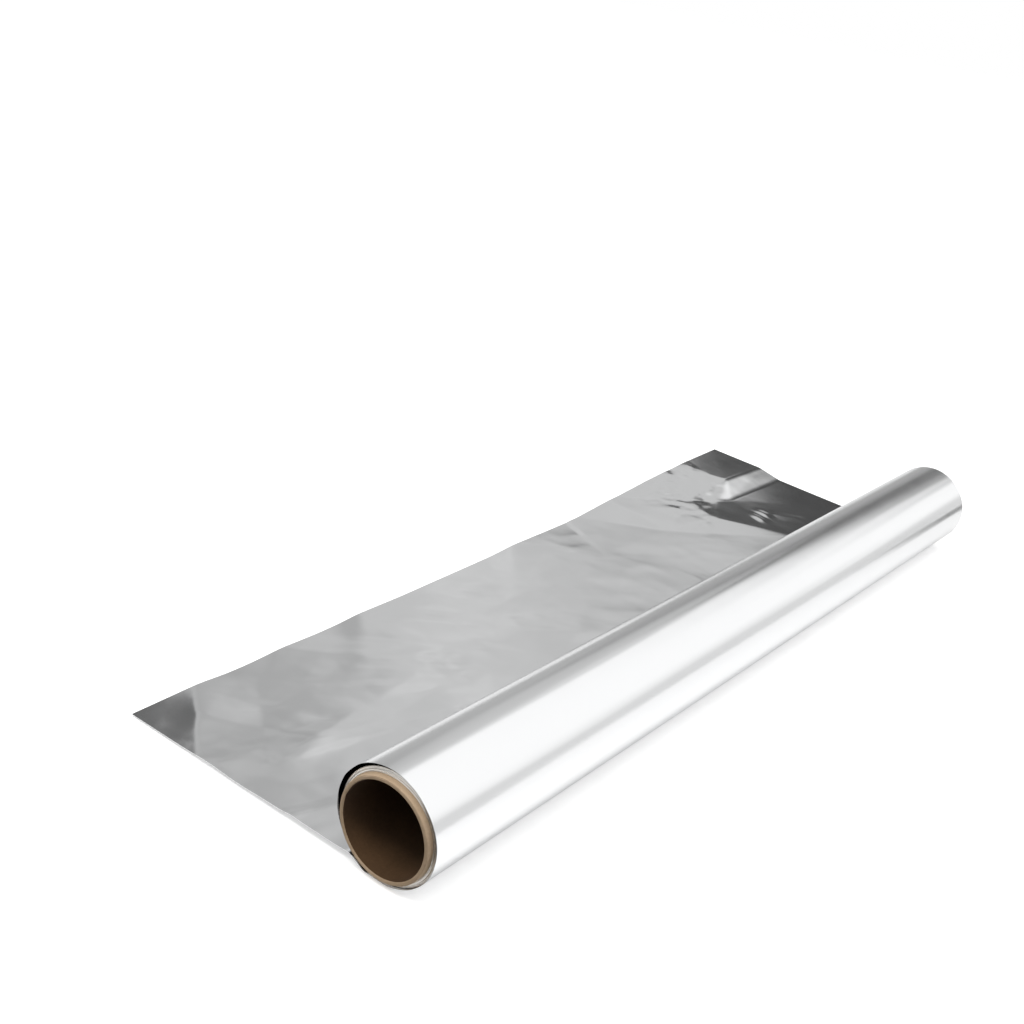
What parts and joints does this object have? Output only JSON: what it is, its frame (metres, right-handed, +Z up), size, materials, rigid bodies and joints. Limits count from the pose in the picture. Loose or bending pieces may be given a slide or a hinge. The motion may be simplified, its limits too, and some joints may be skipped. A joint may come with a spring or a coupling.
{
  "type": "aluminium foil roll",
  "caption": "Long roll of kitchen foil wound on an open paper tube, lying on its side with the free end of the sheet unrolled behind it.",
  "frame": {"origin": "on the surface that the roll lies on, under the middle of the roll's axis", "axes": "+X along the roll's axis, towards the end whose sheet corner is lifted; +Y the way the free sheet runs out; +Z up"},
  "size_m": [0.4612, 0.1572, 0.0423],
  "materials": {
    "core_tube": "plain kraft board, spiral wound",
    "foil": "bright rolled foil with fine lengthwise streaks and soft folds"
  },
  "bodies": {
    "root": {"core_tube": "core_tube", "foil": "foil"}
  },
  "joints": []
}
